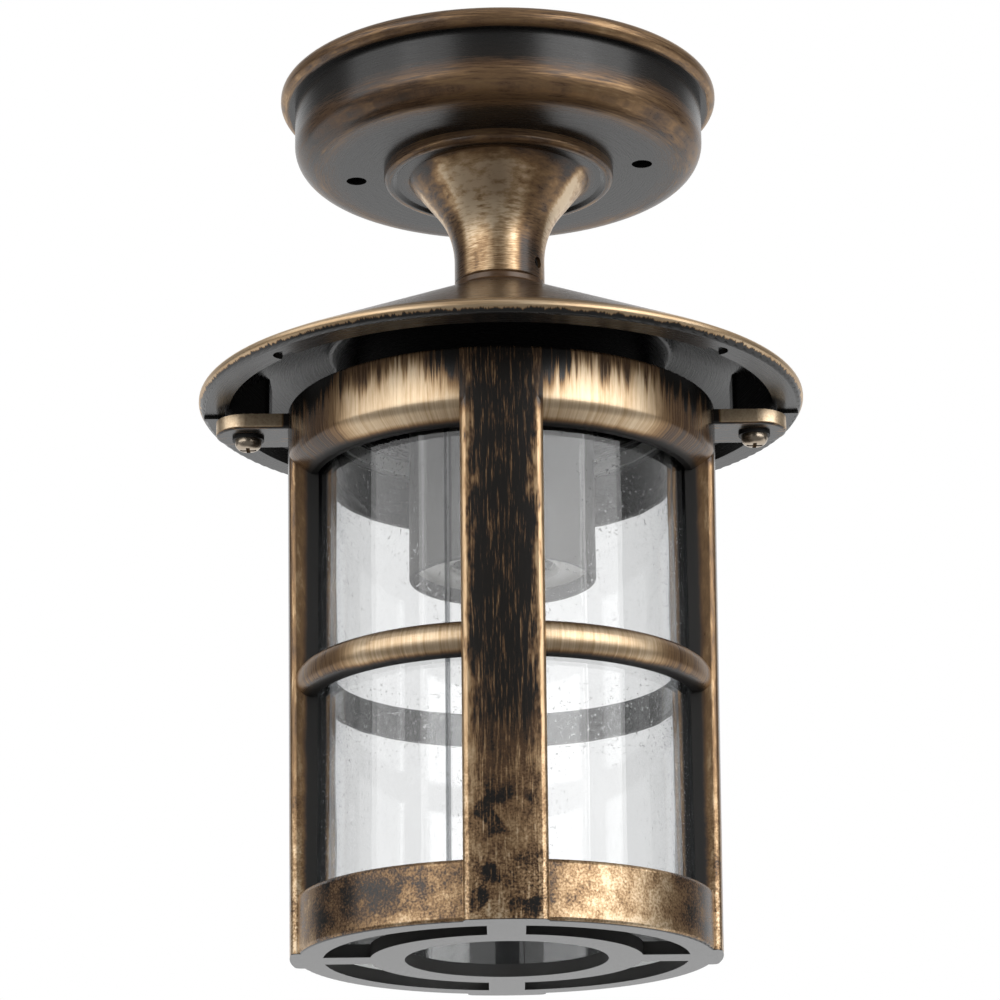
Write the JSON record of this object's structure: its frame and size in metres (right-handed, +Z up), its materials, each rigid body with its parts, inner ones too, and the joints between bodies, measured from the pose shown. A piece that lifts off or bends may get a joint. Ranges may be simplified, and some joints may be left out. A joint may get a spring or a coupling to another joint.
{
  "type": "porch ceiling lantern",
  "caption": "Flush ceiling lantern: round canopy, flared stem, conical hood and a cast cage that holds a clear glass cylinder round the lampholder and drops to change the lamp.",
  "frame": {"origin": "centre of the canopy's open face, on the ceiling plane", "axes": "+Z up into the ceiling, -Y to the front, +X to the right; one cage screw on each of +X and -X"},
  "size_m": [0.16, 0.16, 0.2373],
  "materials": {
    "canopy_metal": "satin black paint brushed over with antique gold",
    "stem_metal": "satin black paint brushed over with antique gold",
    "hood_metal": "satin black paint brushed over with antique gold",
    "cage_metal": "satin black paint brushed over with antique gold",
    "cage_screw_metal": "plated steel",
    "washer_black": "matte",
    "black_screw": "blackened steel",
    "zinc_steel": "zinc plated",
    "foam_gasket": "closed-cell foam",
    "cup_metal": "satin black paint",
    "porcelain": "glazed porcelain",
    "shell_metal": "plain rolled metal",
    "contact_brass": "plain brass",
    "terminal_plastic": "moulded nylon",
    "terminal_brass": "plain brass",
    "lead_brown": "smooth insulation",
    "lead_blue": "smooth insulation",
    "lead_green": "smooth insulation with stripes",
    "clear_glass": "clear moulded glass",
    "silicone": "translucent silicone"
  },
  "bodies": {
    "lantern_body": {"canopy": "canopy_metal", "ceiling_gasket": "foam_gasket", "stem": "stem_metal", "stem_grub_screw": "black_screw", "through_tube": "zinc_steel", "toothed_washer": "zinc_steel", "canopy_nut": "zinc_steel", "hood": "hood_metal", "holder_nut": "zinc_steel", "lampholder_cup": "cup_metal", "lampholder_core": "porcelain", "lamp_screw_shell": "shell_metal", "lamp_centre_contact": "contact_brass", "holder_screws": "zinc_steel", "terminal_block": "terminal_plastic", "terminal_clamp_screws": "terminal_brass", "terminal_block_screw": "zinc_steel", "earth_tag": "terminal_brass", "earth_screw": "terminal_brass", "live_lead": "lead_brown", "neutral_lead": "lead_blue", "earth_lead": "lead_green"},
    "cage": {"cage": "cage_metal", "cage_screws": "cage_screw_metal", "cage_washers": "washer_black", "glass_cylinder": "clear_glass", "glass_lower_seal": "silicone", "glass_upper_seal": "silicone"}
  },
  "joints": [
    {"name": "cage_drop", "type": "slide", "parent": "lantern_body", "child": "cage", "axis": [0, 0, -1], "range_m": [0, 0.12]}
  ]
}
